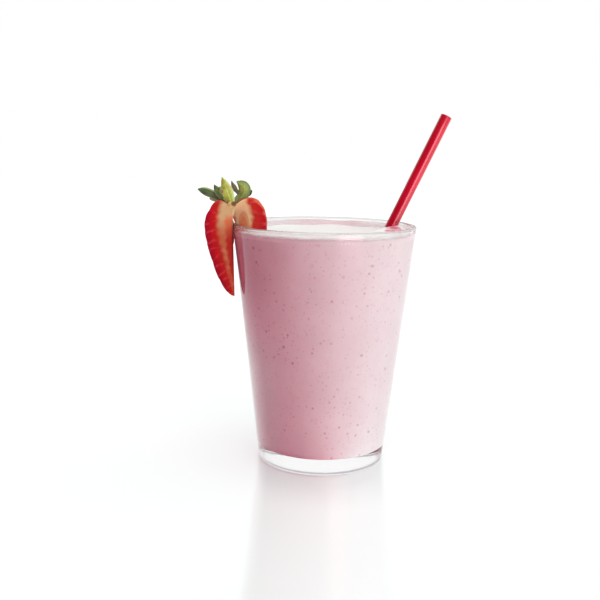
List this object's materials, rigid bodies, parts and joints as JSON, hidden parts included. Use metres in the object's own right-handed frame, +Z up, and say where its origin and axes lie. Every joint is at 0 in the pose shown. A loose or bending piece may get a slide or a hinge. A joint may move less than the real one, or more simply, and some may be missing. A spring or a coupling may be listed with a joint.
{
  "type": "strawberry milkshake",
  "caption": "Pink strawberry milkshake filled almost to the lip of a plain conical glass tumbler, with a red drinking straw and a halved strawberry on the rim",
  "frame": {"origin": "Centre of the tumbler's flat underside, on the surface it stands on", "axes": "+Z up along the tumbler's axis; -Y to the viewer, where the strawberry's cut face looks; +X to the side on which the straw leans out, and -X to the side with the strawberry"},
  "size_m": [0.1251, 0.0898, 0.1729],
  "materials": {
    "glass": "clear and smooth",
    "milkshake": null,
    "straw": "glossy red",
    "strawberry": null,
    "calyx": null
  },
  "bodies": {
    "root": {"glass": "glass", "milkshake": "milkshake", "straw": "straw", "strawberry": "strawberry", "calyx": "calyx"}
  },
  "joints": []
}
